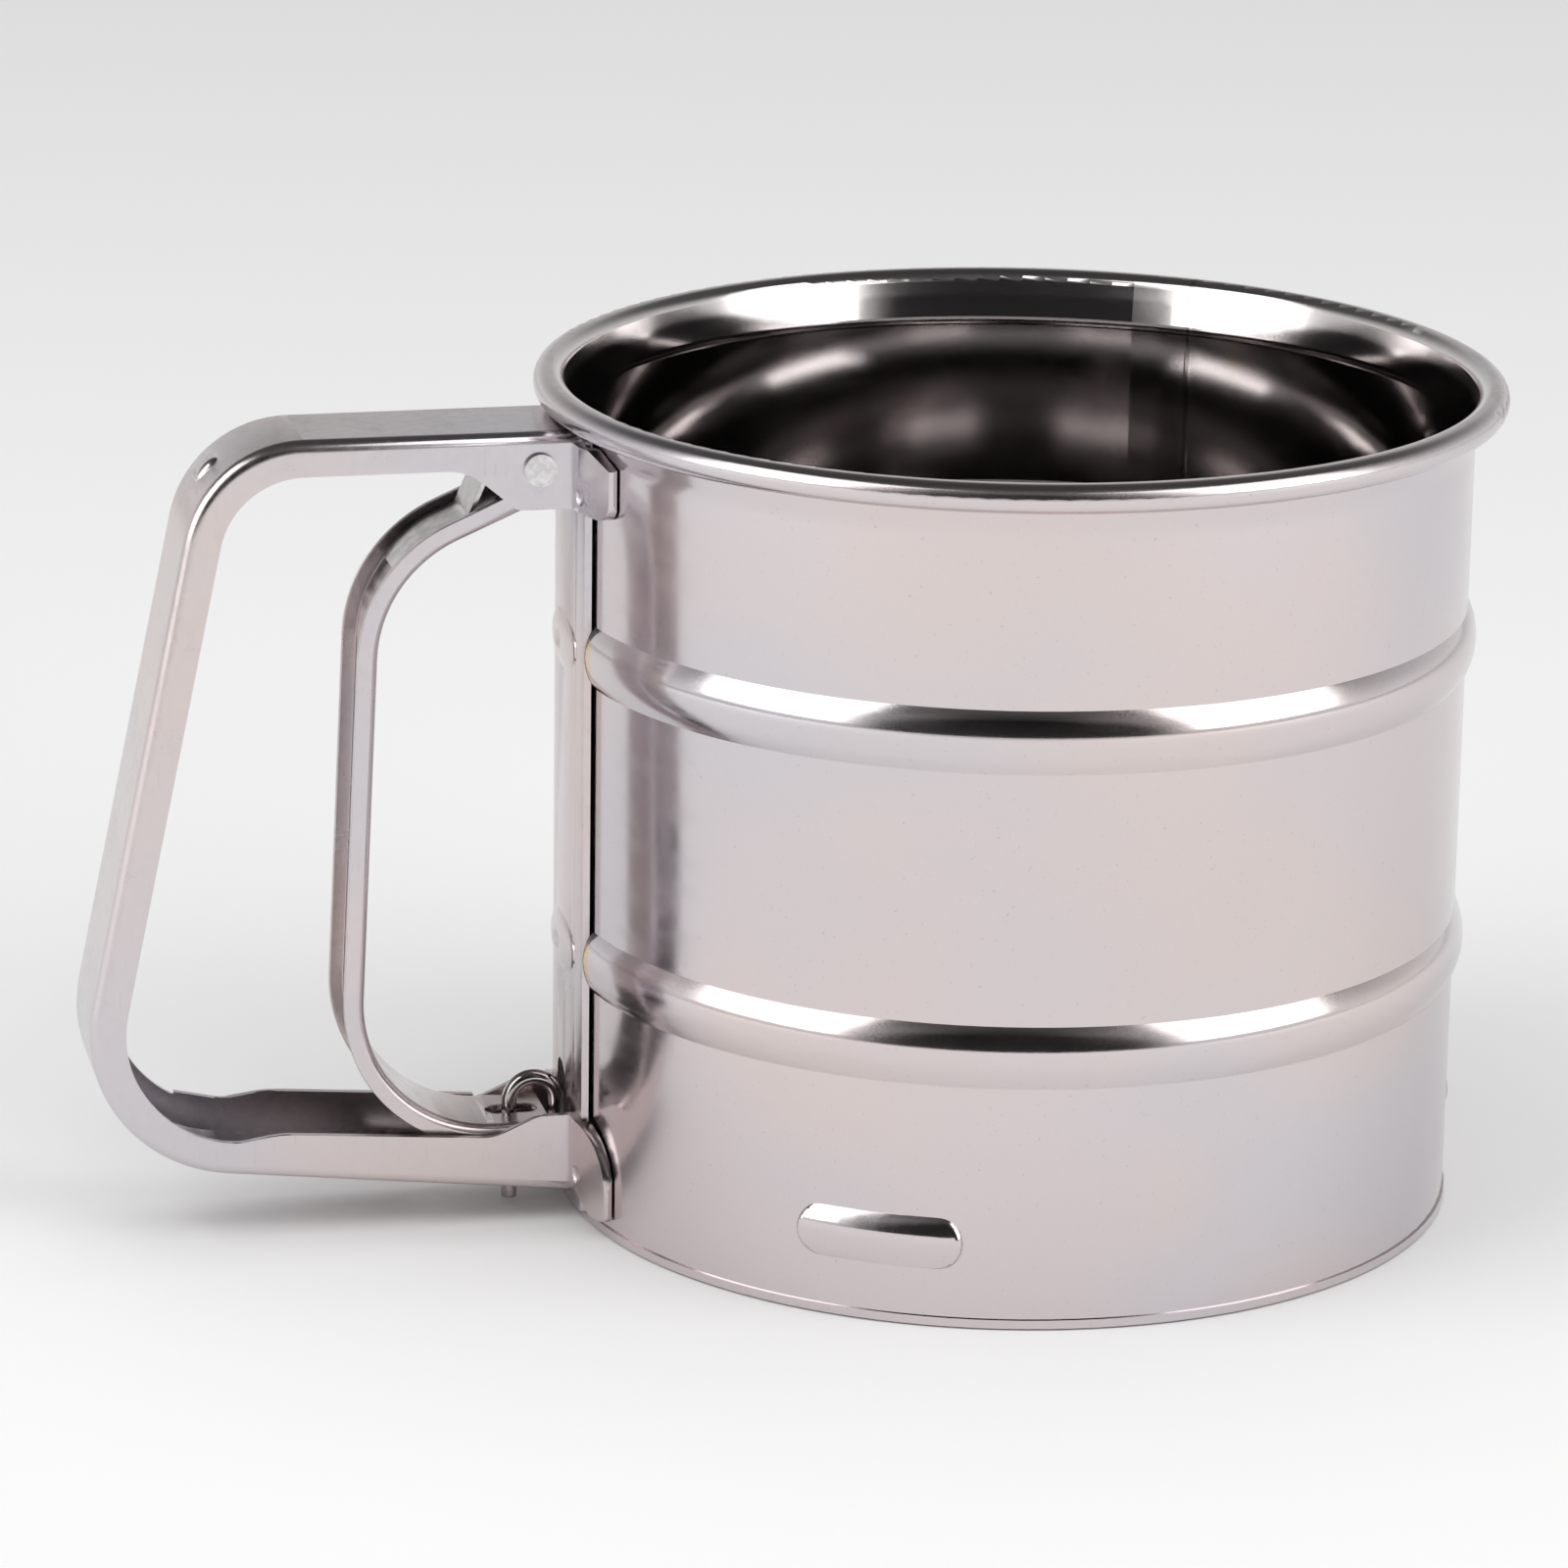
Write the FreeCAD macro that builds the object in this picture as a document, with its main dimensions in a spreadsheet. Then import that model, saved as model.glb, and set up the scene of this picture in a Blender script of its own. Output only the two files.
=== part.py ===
import FreeCAD, Part
import math
import os
import re
import Sketcher

# Hand-held flour sifter: a steel cup with a sieve in its foot, a fixed handle, and a
# squeeze trigger whose wire turns an agitator on the sieve.
# Frame: millimetres, +Z up, origin on the cup's axis in the plane of its lower edge,
# the handle along -X.

SIZES = {
    # cup
    "cup_radius": 47.5,          # outside of the wall
    "cup_wall": 0.5,
    "cup_height": 88.7,          # lower edge to the top of the rolled rim
    "rim_tube": 1.5,             # radius of the rolled rim
    "rim_flare": 0.9,            # how far the wall opens below the rim
    "rim_flare_drop": 2.5,       # height of the opened stretch
    "bead_rise": 1.0,            # how far the two beads stand out
    "bead_half": 3.3,            # half the height of a bead
    "bead_drop": 26.9,           # top of the rim down to the upper bead
    "bead_lower": 28.9,
    "hem_rise": 0.2,             # the folded lower edge
    "hem_tall": 0.9,
    "boss_long": 17.5,           # three oval bosses that hold the spider
    "boss_tall": 6.0,
    "boss_rise": 0.8,
    "boss_round": 0.6,           # rounding of their ends
    "boss_level": 8.8,
    # back strap
    "strap_wide": 16.0,
    "strap_thick": 0.75,
    "strap_stand_off": 0.3,      # from the wall to the strap
    "strap_hump": 0.65,
    "strap_foot": 1.2,
    "strap_drop": 1.1,           # from the rolled rim down to the strap's head
    "strap_bite": 0.6,           # how far the handle's ends run on before they are trimmed to it
    # handle
    "grip_wide": 13.0,
    "grip_sheet": 0.8,
    "grip_bend": 1.2,            # outer rounding where its web turns into its side walls
    "grip_deep": 3.7,            # depth of the channel's side walls
    "grip_drop": 0.3,            # from the rolled rim down to the top arm
    "knuckle_reach": 38.2,       # strap to where the top arm and the grip line meet
    "knuckle_round": 12.5,
    "heel_reach": 53.8,          # strap to where the grip line and the bottom arm meet
    "heel_up": 9.0,
    "heel_round": 16.0,
    "arm_low": 2.75,             # underside of the bottom arm at the strap
    "arm_low_tall": 8.75,        # height of its side walls there
    "far_wall_lift": 0.7,        # how much higher the far side wall stands along the arm
    "ear_drop": 4.25,            # pivot to the lower edge of the ears
    "tab_spread": 5.8,           # how far the welded tabs reach past the strap
    "tab_gap": 0.19,             # their ends to the cup's wall
    "dimple_long": 1.7,
    "dimple_wide": 1.0,
    "dimple_sink": 0.3,          # how far its middle lies below the bend's surface
    "weld_ball": 1.6,            # radius of the tip that presses the spot welds
    "weld_deep": 0.35,
    # trigger
    "pivot_reach": 3.7,          # strap to the pivot
    "pivot_drop": 3.85,          # top arm to the pivot
    "rivet_shaft": 1.2,
    "rivet_head": 1.7,
    "rivet_head_thick": 0.6,
    "side_gap": 0.3,             # between the trigger and the handle's side walls
    "trigger_sheet": 0.7,
    "trigger_bend": 1.0,
    "trigger_deep": 2.2,
    "shoulder_reach": 16.2,      # pivot to where the trigger turns down
    "shoulder_drop": 11.15,
    "shoulder_slope": 0.44,      # rise over run of the trigger's upper stretch
    "shoulder_round": 14.0,
    "toe_reach": 18.7,           # pivot to where it turns in towards the cup
    "toe_lift": 7.55,            # bottom arm to the trigger's toe
    "toe_round": 14.0,
    "toe_gap": 1.85,             # trigger's end to the strap
    "slot_wide": 2.7,
    "slot_long": 5.6,
    # wire, agitator and sieve
    "wire_radius": 0.82,
    "wire_leg_reach": 5.55,      # strap to the leg that the trigger pulls
    "wire_knee_reach": 0.5,      # strap to the leg that goes into the cup
    "wire_crown": 13.7,          # centre line of the arch
    "wire_foot": 0.5,
    "wire_level": 7.0,           # centre line inside the cup
    "wire_turn_in": 14.0,        # wall to where it turns sideways inside the cup
    "stroke": 12.4,              # travel of the wire
    "crank_radius": 22.0,        # from the axis to the line of the wire's end
    "fit_gap": 0.15,             # clearance of the wire in its slots
    "star_level": 4.8,
    "star_sheet": 0.8,
    "star_hub": 9.0,
    "star_gap": 1.9,             # star to the sieve's ring
    "star_arm_wide": 6.4,
    "fin_foot": 3.0,
    "bush_radius": 3.2,
    "pin_radius": 1.5,
    "running_gap": 0.08,
    "end_gap": 0.2,              # bush to the spider and the washer
    "spider_gap": 3.0,           # star to the spider
    "spider_sheet": 1.0,
    "spider_hub": 8.0,
    "spider_arm_wide": 8.0,
    "lug_thick": 1.2,
    "sieve_level": 1.85,
    "sieve_thick": 0.45,
    "ring_wide": 2.6,
    "ring_seat": 1.4,            # how far the sieve sits in the ring
    "ring_foot": 0.6,
    "ring_tall": 2.7,
    "washer_radius": 5.0,
    "washer_thick": 0.6,
    "spring_gap": 0.95,          # leaf to the trigger's side walls
    "spring_sheet": 0.4,
    "spring_rest": 0.3,          # leaf to the trigger's floor
}

DERIVED = {
    "cup_bore": "(cup_radius - cup_wall)",
    "rim_out": "(cup_bore + rim_flare + 2*rim_tube)",
    "rim_low": "(cup_height - 2*rim_tube)",
    "bead_upper": "(cup_height - bead_drop)",
    "bead_arc": "((bead_half*bead_half + bead_rise*bead_rise)/(2*bead_rise))",
    "bead_centre": "(cup_radius + bead_rise - bead_arc)",
    "boss_half": "(0.46*boss_tall)",
    "boss_arc": "((boss_half*boss_half + boss_rise*boss_rise)/(2*boss_rise))",
    "boss_centre": "(cup_radius + boss_rise - boss_arc)",
    "strap_in": "(cup_radius + strap_stand_off)",
    "strap_out": "(strap_in + strap_thick)",
    "strap_head": "(rim_low - strap_drop)",
    "tab_out": "(strap_out + grip_sheet)",
    "tab_reach": "(strap_wide/2 + tab_spread)",
    "grip_top": "(rim_low - grip_drop)",
    "knuckle_out": "(strap_out + knuckle_reach)",
    "heel_out": "(strap_out + heel_reach)",
    "arm_low_wall": "(arm_low + arm_low_tall)",
    "pivot_out": "(strap_out + pivot_reach)",
    "pivot_up": "(grip_top - pivot_drop)",
    "ear_low": "(pivot_up - ear_drop)",
    "trigger_wide": "(grip_wide - 2*grip_sheet - 2*side_gap)",
    "shoulder_out": "(pivot_out + shoulder_reach)",
    "shoulder_up": "(pivot_up - shoulder_drop)",
    "toe_out": "(pivot_out + toe_reach)",
    "toe_up": "(arm_low + toe_lift)",
    "toe_end": "(strap_out + toe_gap)",
    "wire_leg_out": "(strap_out + wire_leg_reach)",
    "wire_knee_out": "(strap_out + wire_knee_reach)",
    "wire_turn_out": "(cup_bore - wire_turn_in)",
    "wire_slack": "(wire_radius + fit_gap)",
    "ring_inner": "(cup_bore - ring_wide)",
    "star_reach": "(ring_inner - star_gap)",
    "star_top": "(star_level + star_sheet)",
    "spider_level": "(star_top + spider_gap)",
    "spider_top": "(spider_level + spider_sheet)",
    "sieve_top": "(sieve_level + sieve_thick)",
    "bush_foot": "(sieve_top + washer_thick + end_gap)",
    "bush_top": "(spider_level - end_gap)",
    "lug_outer": "(cup_bore + boss_rise - end_gap)",
    "spring_wide": "(trigger_wide - 2*trigger_sheet - 2*spring_gap)",
    "spring_seat": "(trigger_sheet + spring_rest + spring_sheet)",
}

doc = FreeCAD.newDocument("flour_sifter")
sheet = doc.addObject("Spreadsheet::Sheet", "sizes")
for row, (alias, size) in enumerate(SIZES.items(), start=1):
    sheet.set(f"A{row}", alias)
    sheet.set(f"B{row}", str(size))
    sheet.setAlias(f"B{row}", alias)
doc.recompute()

PARTS = []
SEAM_TURN = FreeCAD.Rotation(FreeCAD.Vector(0, 0, 1), 60)    # keeps seam lines off the bosses


def tie(expression):
    """Write an expression in names of sizes as one that reads the sheet's cells."""
    def cell(match):
        name = match.group(0)
        if name in DERIVED:
            return tie(DERIVED[name])
        return "sizes." + name if name in SIZES else name
    return re.sub(r"[a-z_]+", cell, str(expression))


def number(expression):
    """The value that an expression has now."""
    return float(sheet.evalExpression(tie(expression)))


def bind(thing, **expressions):
    """Tie properties to the sheet; Base_x stands for Placement.Base.x."""
    for key, expression in expressions.items():
        path = "Placement.Base." + key[-1] if key.startswith("Base_") else key
        thing.setExpression(path, tie(expression))
    return thing


def finish(thing, label):
    """Name a finished sub-part, which also names its file."""
    thing.Label = label
    PARTS.append(thing)
    return thing


# ---------------------------------------------------------------- sketches

def new_body(name):
    return doc.addObject("PartDesign::Body", name)


def new_sketch(body, plane, name):
    sketch = body.newObject("Sketcher::SketchObject", name)
    support = [f for f in body.Origin.OriginFeatures if f.Role == plane + "_Plane"][0]
    sketch.AttachmentSupport = (support, [""])
    sketch.MapMode = "FlatFace"
    return sketch


def fix_point(sketch, geometry, end, x, y):
    """Hold one point of a sketch at two tied coordinates."""
    for kind, expression in (("DistanceX", x), ("DistanceY", y)):
        value = number(expression)
        index = sketch.addConstraint(Sketcher.Constraint(kind, -1, 1, geometry, end, value))
        sketch.setExpression(f"Constraints[{index}]", tie(expression))


def fix_radius(sketch, geometry, radius):
    index = sketch.addConstraint(Sketcher.Constraint("Radius", geometry, number(radius)))
    sketch.setExpression(f"Constraints[{index}]", tie(radius))


def corner_cut(before, corner, after, radius):
    """Where an arc of this radius leaves both sides of a corner, and its centre."""
    first = (before - corner).normalize()
    second = (after - corner).normalize()
    half = first.getAngle(second) / 2
    reach = radius / math.tan(half)
    middle = (first + second).normalize()
    return corner + first * reach, corner + second * reach, corner + middle * (radius / math.sin(half))


def outline(sketch, corners):
    """Closed outline of straight sides; a corner is (x, y) or (x, y, rounding radius)."""
    count = len(corners)
    places = [FreeCAD.Vector(number(c[0]), number(c[1]), 0) for c in corners]
    starts, ends, arcs = [], [], {}
    for i, corner in enumerate(corners):
        if len(corner) == 3:
            args = (places[i - 1], places[i], places[(i + 1) % count], number(corner[2]))
            arrive, leave, centre = corner_cut(*args)
            arcs[i] = (arrive, leave, centre)
            ends.append(arrive)
            starts.append(leave)
        else:
            ends.append(places[i])
            starts.append(places[i])
    for i in range(count):
        sketch.addGeometry(Part.LineSegment(starts[i], ends[(i + 1) % count]))
    for i, corner in enumerate(corners):
        side_in = (i - 1) % count
        if i not in arcs:
            sketch.addConstraint(Sketcher.Constraint("Coincident", side_in, 2, i, 1))
            fix_point(sketch, i, 1, corner[0], corner[1])
            continue
        arrive, leave, centre = arcs[i]
        chord = (arrive + leave) / 2
        crown = centre + (chord - centre).normalize() * number(corner[2])
        arc = sketch.addGeometry(Part.Arc(arrive, crown, leave))
        turn = (arrive - centre).cross(leave - centre).z
        first, second = (1, 2) if turn > 0 else (2, 1)
        tip = sketch.addGeometry(Part.Point(places[i]), True)
        sketch.addConstraint(Sketcher.Constraint("Tangent", side_in, 2, arc, first))
        sketch.addConstraint(Sketcher.Constraint("Tangent", i, 1, arc, second))
        sketch.addConstraint(Sketcher.Constraint("PointOnObject", tip, 1, side_in))
        sketch.addConstraint(Sketcher.Constraint("PointOnObject", tip, 1, i))
        fix_point(sketch, tip, 1, corner[0], corner[1])
        fix_radius(sketch, arc, corner[2])


def rectangle(sketch, x0, y0, x1, y1):
    outline(sketch, [(x0, y0), (x1, y0), (x1, y1), (x0, y1)])


def circle(sketch, x, y, radius):
    centre = FreeCAD.Vector(number(x), number(y), 0)
    ring = sketch.addGeometry(Part.Circle(centre, FreeCAD.Vector(0, 0, 1), number(radius)))
    fix_point(sketch, ring, 3, x, y)
    fix_radius(sketch, ring, radius)


def segment(sketch, chord_x, centre_x, centre_y, radius):
    """The part of a disc beyond an upright chord."""
    lean = math.acos((number(chord_x) - number(centre_x)) / number(radius))
    centre = FreeCAD.Vector(number(centre_x), number(centre_y), 0)
    disc = Part.Circle(centre, FreeCAD.Vector(0, 0, 1), number(radius))
    arc = sketch.addGeometry(Part.ArcOfCircle(disc, -lean, lean))
    drawn = sketch.Geometry[arc]
    chord = sketch.addGeometry(Part.LineSegment(drawn.EndPoint, drawn.StartPoint))
    sketch.addConstraint(Sketcher.Constraint("Coincident", arc, 2, chord, 1))
    sketch.addConstraint(Sketcher.Constraint("Coincident", arc, 1, chord, 2))
    sketch.addConstraint(Sketcher.Constraint("Vertical", chord))
    fix_point(sketch, arc, 3, centre_x, centre_y)
    fix_radius(sketch, arc, radius)
    value = number(chord_x)
    index = sketch.addConstraint(Sketcher.Constraint("DistanceX", -1, 1, chord, 1, value))
    sketch.setExpression(f"Constraints[{index}]", tie(chord_x))


def stadium(sketch, length, height, level):
    """Two level sides joined by half circles, centred on the sketch's Y axis."""
    half, middle = number(f"({height})/2"), number(level)
    reach = number(f"({length})/2") - half
    low, high = middle - half, middle + half
    corners = [FreeCAD.Vector(x, y, 0) for x, y in (
        (-reach, low), (reach, low), (reach, high), (-reach, high))]
    crowns = [FreeCAD.Vector(side * (reach + half), middle, 0) for side in (1, -1)]
    sides = [Part.LineSegment(corners[0], corners[1]),
             Part.Arc(corners[1], crowns[0], corners[2]),
             Part.LineSegment(corners[2], corners[3]),
             Part.Arc(corners[3], crowns[1], corners[0])]
    for side in sides:
        sketch.addGeometry(side)
    for i in range(4):
        sketch.addConstraint(Sketcher.Constraint("Tangent", i, 2, (i + 1) % 4, 1))
    for arc, side in ((1, ""), (3, "-")):
        fix_point(sketch, arc, 3, f"{side}(({length})/2 - ({height})/2)", level)
    fix_radius(sketch, 1, f"({height})/2")


# ---------------------------------------------------------------- solids

def pad(body, sketch, length, both=False):
    feature = body.newObject("PartDesign::Pad", sketch.Name + "_pad")
    feature.Profile = sketch
    feature.SideType = "Symmetric" if both else "One side"
    bind(feature, Length=length)
    sketch.Visibility = False
    return feature


def pocket(body, sketch, length):
    feature = body.newObject("PartDesign::Pocket", sketch.Name + "_pocket")
    feature.Profile = sketch
    feature.SideType = "Symmetric"
    bind(feature, Length=length)
    return feature


def turned(body, sketch, kind="Revolution"):
    feature = body.newObject("PartDesign::" + kind, sketch.Name + "_turned")
    feature.Profile = sketch
    feature.ReferenceAxis = (sketch, ["V_Axis"])
    feature.Angle = 360
    return feature


def turned_body(name, draw):
    body = new_body(name)
    sketch = new_sketch(body, "XZ", name + "_section")
    draw(sketch)
    turned(body, sketch)
    return body


def slab(name, plane, draw, length, both=False):
    """One padded outline."""
    body = new_body(name)
    sketch = new_sketch(body, plane, name + "_outline")
    draw(sketch)
    pad(body, sketch, length, both)
    return body


def raised_pad(body, name, draw, foot, top):
    """A flat outline padded from one level to another."""
    sketch = new_sketch(body, "XY", name)
    sketch.setExpression("AttachmentOffset.Base.z", tie(foot))
    draw(sketch)
    return pad(body, sketch, f"({top}) - ({foot})")


def cylinder(name, radius, height, foot, x="0", y="0"):
    thing = doc.addObject("Part::Cylinder", name)
    return bind(thing, Radius=radius, Height=height, Base_x=x, Base_y=y, Base_z=foot)


def box(name, x0, y0, z0, long, wide, tall):
    thing = doc.addObject("Part::Box", name)
    return bind(thing, Length=long, Width=wide, Height=tall, Base_x=x0, Base_y=y0, Base_z=z0)


def cut(name, base, tool):
    thing = doc.addObject("Part::Cut", name)
    thing.Base = base
    thing.Tool = tool
    return thing


def fuse(name, shapes):
    thing = doc.addObject("Part::MultiFuse", name)
    thing.Shapes = shapes
    thing.Refine = True
    return thing


def common(name, shapes):
    thing = doc.addObject("Part::MultiCommon", name)
    thing.Shapes = shapes
    return thing


def mirrored(name, source):
    """The same piece on the other side of the handle's middle plane."""
    thing = doc.addObject("Part::Mirroring", name)
    thing.Source = source
    thing.Normal = FreeCAD.Vector(0, 1, 0)
    return thing


def tube(name, outer, inner, height, foot):
    wall = cylinder(name + "_outside", outer, height, foot)
    hollow = cylinder(name + "_hollow", inner, f"{height} + 2", f"{foot} - 1")
    for piece in (wall, hollow):
        piece.Placement.Rotation = SEAM_TURN
    return cut(name, wall, hollow)


def repeat_round(body, features, count):
    """Copies of a body's features, evenly spaced round the Z axis."""
    doc.recompute()
    pattern = body.newObject("PartDesign::PolarPattern", body.Name + "_pattern")
    pattern.Originals = features
    axis = [f for f in body.Origin.OriginFeatures if f.Role == "Z_Axis"][0]
    pattern.Axis = (axis, [""])
    pattern.Angle = 360
    pattern.Occurrences = count
    body.Tip = pattern


def round_bends(body, wide, radius):
    """Round a channel's two long outer bends, where its web turns into its side walls."""
    doc.recompute()
    base = body.Tip
    solid = base.Shape
    bends = []
    for face in solid.Faces:
        box_of = face.BoundBox
        if box_of.YLength < number(wide) - 0.01 or box_of.XLength < 0.01:
            continue
        for edge in face.Edges:
            if all(abs(abs(v.Point.y) - number(wide) / 2) < 0.01 for v in edge.Vertexes):
                if edge.BoundBox.YLength < 0.01:
                    bends.append(edge)
    names = [f"Edge{i}" for i, edge in enumerate(solid.Edges, start=1)
             if any(edge.isSame(bend) for bend in bends)]
    rounding = body.newObject("PartDesign::Fillet", body.Name + "_bends")
    rounding.Base = (base, names)
    bind(rounding, Radius=radius)


def round_ends(name, base, out, radius):
    """Round the ends of bosses, whose edges pass over the crest at this distance from the Z axis."""
    doc.recompute()
    crests = []
    for i, edge in enumerate(base.Shape.Edges, start=1):
        highest = max(math.hypot(point.x, point.y) for point in edge.discretize(9))
        room = edge.BoundBox
        if abs(highest - number(out)) < 0.1 and min(room.XLength, room.YLength, room.ZLength) > 0.1:
            crests.append((i, number(radius), number(radius)))
    rounding = doc.addObject("Part::Fillet", name)
    rounding.Base = base
    rounding.Edges = crests
    return rounding


def domed_zone(name, chord, inset):
    """Ring with a rounded outside, on the circle of the bosses' section drawn in by inset."""
    return turned_body(name, lambda sketch: segment(
        sketch, chord, "boss_centre", "boss_level", f"boss_arc - ({inset})"))


def three_bars(name, long, tall, level):
    """Three oval bars from the axis outwards, 120 degrees apart."""
    body = new_body(name)
    sketch = new_sketch(body, "YZ", name + "_oval")
    stadium(sketch, long, tall, level)
    repeat_round(body, [pad(body, sketch, "cup_radius + 10")], 3)
    return body


# ---------------------------------------------------------------- paths

def offset_path(points, gap):
    """A path of straight runs moved sideways by gap, to the left of the way along it."""
    runs = []
    for (x0, y0), (x1, y1) in zip(points[:-1], points[1:]):
        along, up = f"(({x1})-({x0}))", f"(({y1})-({y0}))"
        length = f"sqrt({along}^2 + {up}^2)"
        runs.append((f"(-{up}/{length})", f"({along}/{length})"))
    moved = []
    for i, (x, y) in enumerate(points):
        first, second = runs[max(i - 1, 0)], runs[min(i, len(runs) - 1)]
        share = f"({gap})/(1 + {first[0]}*{second[0]} + {first[1]}*{second[1]})"
        moved.append((f"({x}) + {share}*({first[0]} + {second[0]})",
                      f"({y}) + {share}*({first[1]} + {second[1]})"))
    return moved


HANDLE_PATH = [("-strap_out + strap_bite", "grip_top"), ("-knuckle_out", "grip_top"),
               ("-heel_out", "heel_up"), ("-strap_out + strap_bite", "arm_low")]
TRIGGER_PATH = [("-pivot_out + 2.8", "shoulder_up + (shoulder_reach + 2.8)*shoulder_slope"),
                ("-shoulder_out", "shoulder_up"), ("-toe_out", "toe_up"),
                ("-toe_end", "toe_up")]


# ---------------------------------------------------------------- cup

RIM_ROUND = 0.95                 # how nearly the rolled rim is a full circle


def make_cup():
    def wall(sketch):
        """Wall, opened a little below the rim, with the rim rolled outwards in one sheet."""
        inside = f"{RIM_ROUND}*(rim_tube - cup_wall)"
        outside = f"{RIM_ROUND}*rim_tube"
        outline(sketch, [
            ("cup_bore", "0"), ("cup_radius", "0"),
            ("cup_radius", "rim_low - rim_flare_drop", "6"),
            ("cup_radius + rim_flare", "cup_height - cup_wall", inside),
            ("rim_out - cup_wall", "cup_height - cup_wall", inside),
            ("rim_out - cup_wall", "rim_low + cup_wall", inside),
            ("cup_radius + rim_flare + 0.4", "rim_low + cup_wall"),
            ("cup_radius + rim_flare + 0.4", "rim_low"),
            ("rim_out", "rim_low", outside),
            ("rim_out", "cup_height", outside),
            ("cup_bore + rim_flare", "cup_height", outside),
            ("cup_bore", "rim_low - rim_flare_drop", "6")])

    body = turned_body("cup_shell", wall)
    body.Placement.Rotation = SEAM_TURN
    hem = new_sketch(body, "XZ", "hem_section")
    rectangle(hem, "cup_radius - cup_wall/2", "0", "cup_radius + hem_rise", "hem_tall")
    turned(body, hem)
    for name in ("bead_upper", "bead_lower"):
        crest = new_sketch(body, "XZ", name + "_crest")
        segment(crest, "cup_radius", "bead_centre", name, "bead_arc")
        turned(body, crest)
        furrow = new_sketch(body, "XZ", name + "_furrow")
        segment(furrow, "cup_bore", "bead_centre", name, "bead_arc - cup_wall")
        turned(body, furrow, "Groove")

    rise = domed_zone("boss_zone", "cup_bore + 0.1", "0")
    bars = three_bars("boss_bars", "boss_long", "boss_tall", "boss_level")
    bosses = round_ends("bosses", common("boss_blanks", [bars, rise]),
                        "cup_radius + boss_rise", "boss_round")
    hollow_bars = three_bars("boss_hollow_bars", "boss_long - 2*cup_wall",
                             "boss_tall - 2*cup_wall", "boss_level")
    sink = domed_zone("boss_hollow_zone", "cup_bore - 1", "cup_wall")
    hollows = common("boss_hollows", [hollow_bars, sink])
    hole = slab("wall_hole", "YZ", wire_hole, "cup_radius + 10")
    bind(hole, Base_x="-cup_radius - 10")
    cup = cut("cup", fuse("cup_with_bosses", [body, bosses]), fuse("cup_cuts", [hollows, hole]))
    finish(cup, "cup_body")


def wire_hole(sketch):
    """Upright oval that the arch of the wire passes through."""
    outline(sketch, [
        ("-wire_radius - 1.1", "wire_level - wire_radius - 1.1", "1.6"),
        ("wire_radius + 1.1", "wire_level - wire_radius - 1.1", "1.6"),
        ("wire_radius + 1.1", "wire_crown + wire_radius + 1.0", "1.6"),
        ("-wire_radius - 1.1", "wire_crown + wire_radius + 1.0", "1.6")])


def cup_envelope():
    """The full outside of the cup, which the strap is fitted over."""
    def side(sketch):
        rectangle(sketch, "0", "-5", "cup_radius", "cup_height")

    body = turned_body("cup_envelope", side)
    for name in ("bead_upper", "bead_lower"):
        crest = new_sketch(body, "XZ", name + "_envelope")
        segment(crest, "cup_radius - 1", "bead_centre", name, "bead_arc")
        turned(body, crest)
    return body


def make_strap():
    """Plate bent round the cup's wall, with a hump over each bead."""
    blank = box("strap_blank", "-strap_out - 1", "-strap_wide/2", "strap_foot",
                "cup_radius/2", "strap_wide", "strap_head - strap_foot")
    plate = common("strap_plate", [blank, tube("strap_round", "strap_out", "strap_in",
                                               "cup_height", "0")])
    humps = []
    for name in ("bead_upper", "bead_lower"):
        hump = doc.addObject("Part::Ellipsoid", "strap_hump_" + name)
        hump.Angle1 = -90
        bind(hump, Radius1="bead_half", Radius2="strap_hump + strap_thick/2",
             Radius3="strap_wide*0.36", Base_x="-strap_out + strap_thick/2", Base_z=name)
        humps.append(hump)
    solid = fuse("strap_solid", [plate] + humps)
    hole = slab("strap_hole", "YZ", wire_hole, "cup_radius + 10")
    bind(hole, Base_x="-cup_radius - 10")
    welds = [weld_mark("strap_weld_" + name, "strap_out + strap_hump", "0", name)
             for name in ("bead_upper", "bead_lower")]
    finish(cut("strap", solid, fuse("strap_cuts", [cup_envelope(), hole] + welds)), "back_strap")


def weld_mark(name, out, side, level):
    """The ball whose shallow cap is pressed into the sheet by a spot weld."""
    ball = doc.addObject("Part::Sphere", name)
    return bind(ball, Radius="weld_ball", Base_x=f"weld_deep - weld_ball - ({out})",
                Base_y=side, Base_z=level)


# ---------------------------------------------------------------- handle

def channel(name, path, rounds, free_edge, size, side, room_back):
    """U-channel: its side outline padded to full width, then hollowed between its side walls.

    side is 1 where the walls stand to the left of the way along the path, -1 to the right.
    """
    wide, metal = size
    body = new_body(name)
    profile = new_sketch(body, "XZ", name + "_side")
    outline(profile, [path[0], path[1] + (rounds[0],), path[2] + (rounds[1],), path[3]] + free_edge)
    pad(body, profile, wide, both=True)
    web = offset_path(path, f"{side}*{metal}")
    room = new_sketch(body, "XZ", name + "_room")
    outline(room, [
        (f"({web[0][0]}) + 20", web[0][1]), web[0],
        web[1] + (f"{rounds[0]} - {side}*{metal}",),
        web[2] + (f"{rounds[1]} - {side}*{metal}",),
        web[3], (f"({web[3][0]}) + 20", web[3][1])] + room_back)
    pocket(body, room, f"{wide} - 2*{metal}")
    return body


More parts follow.
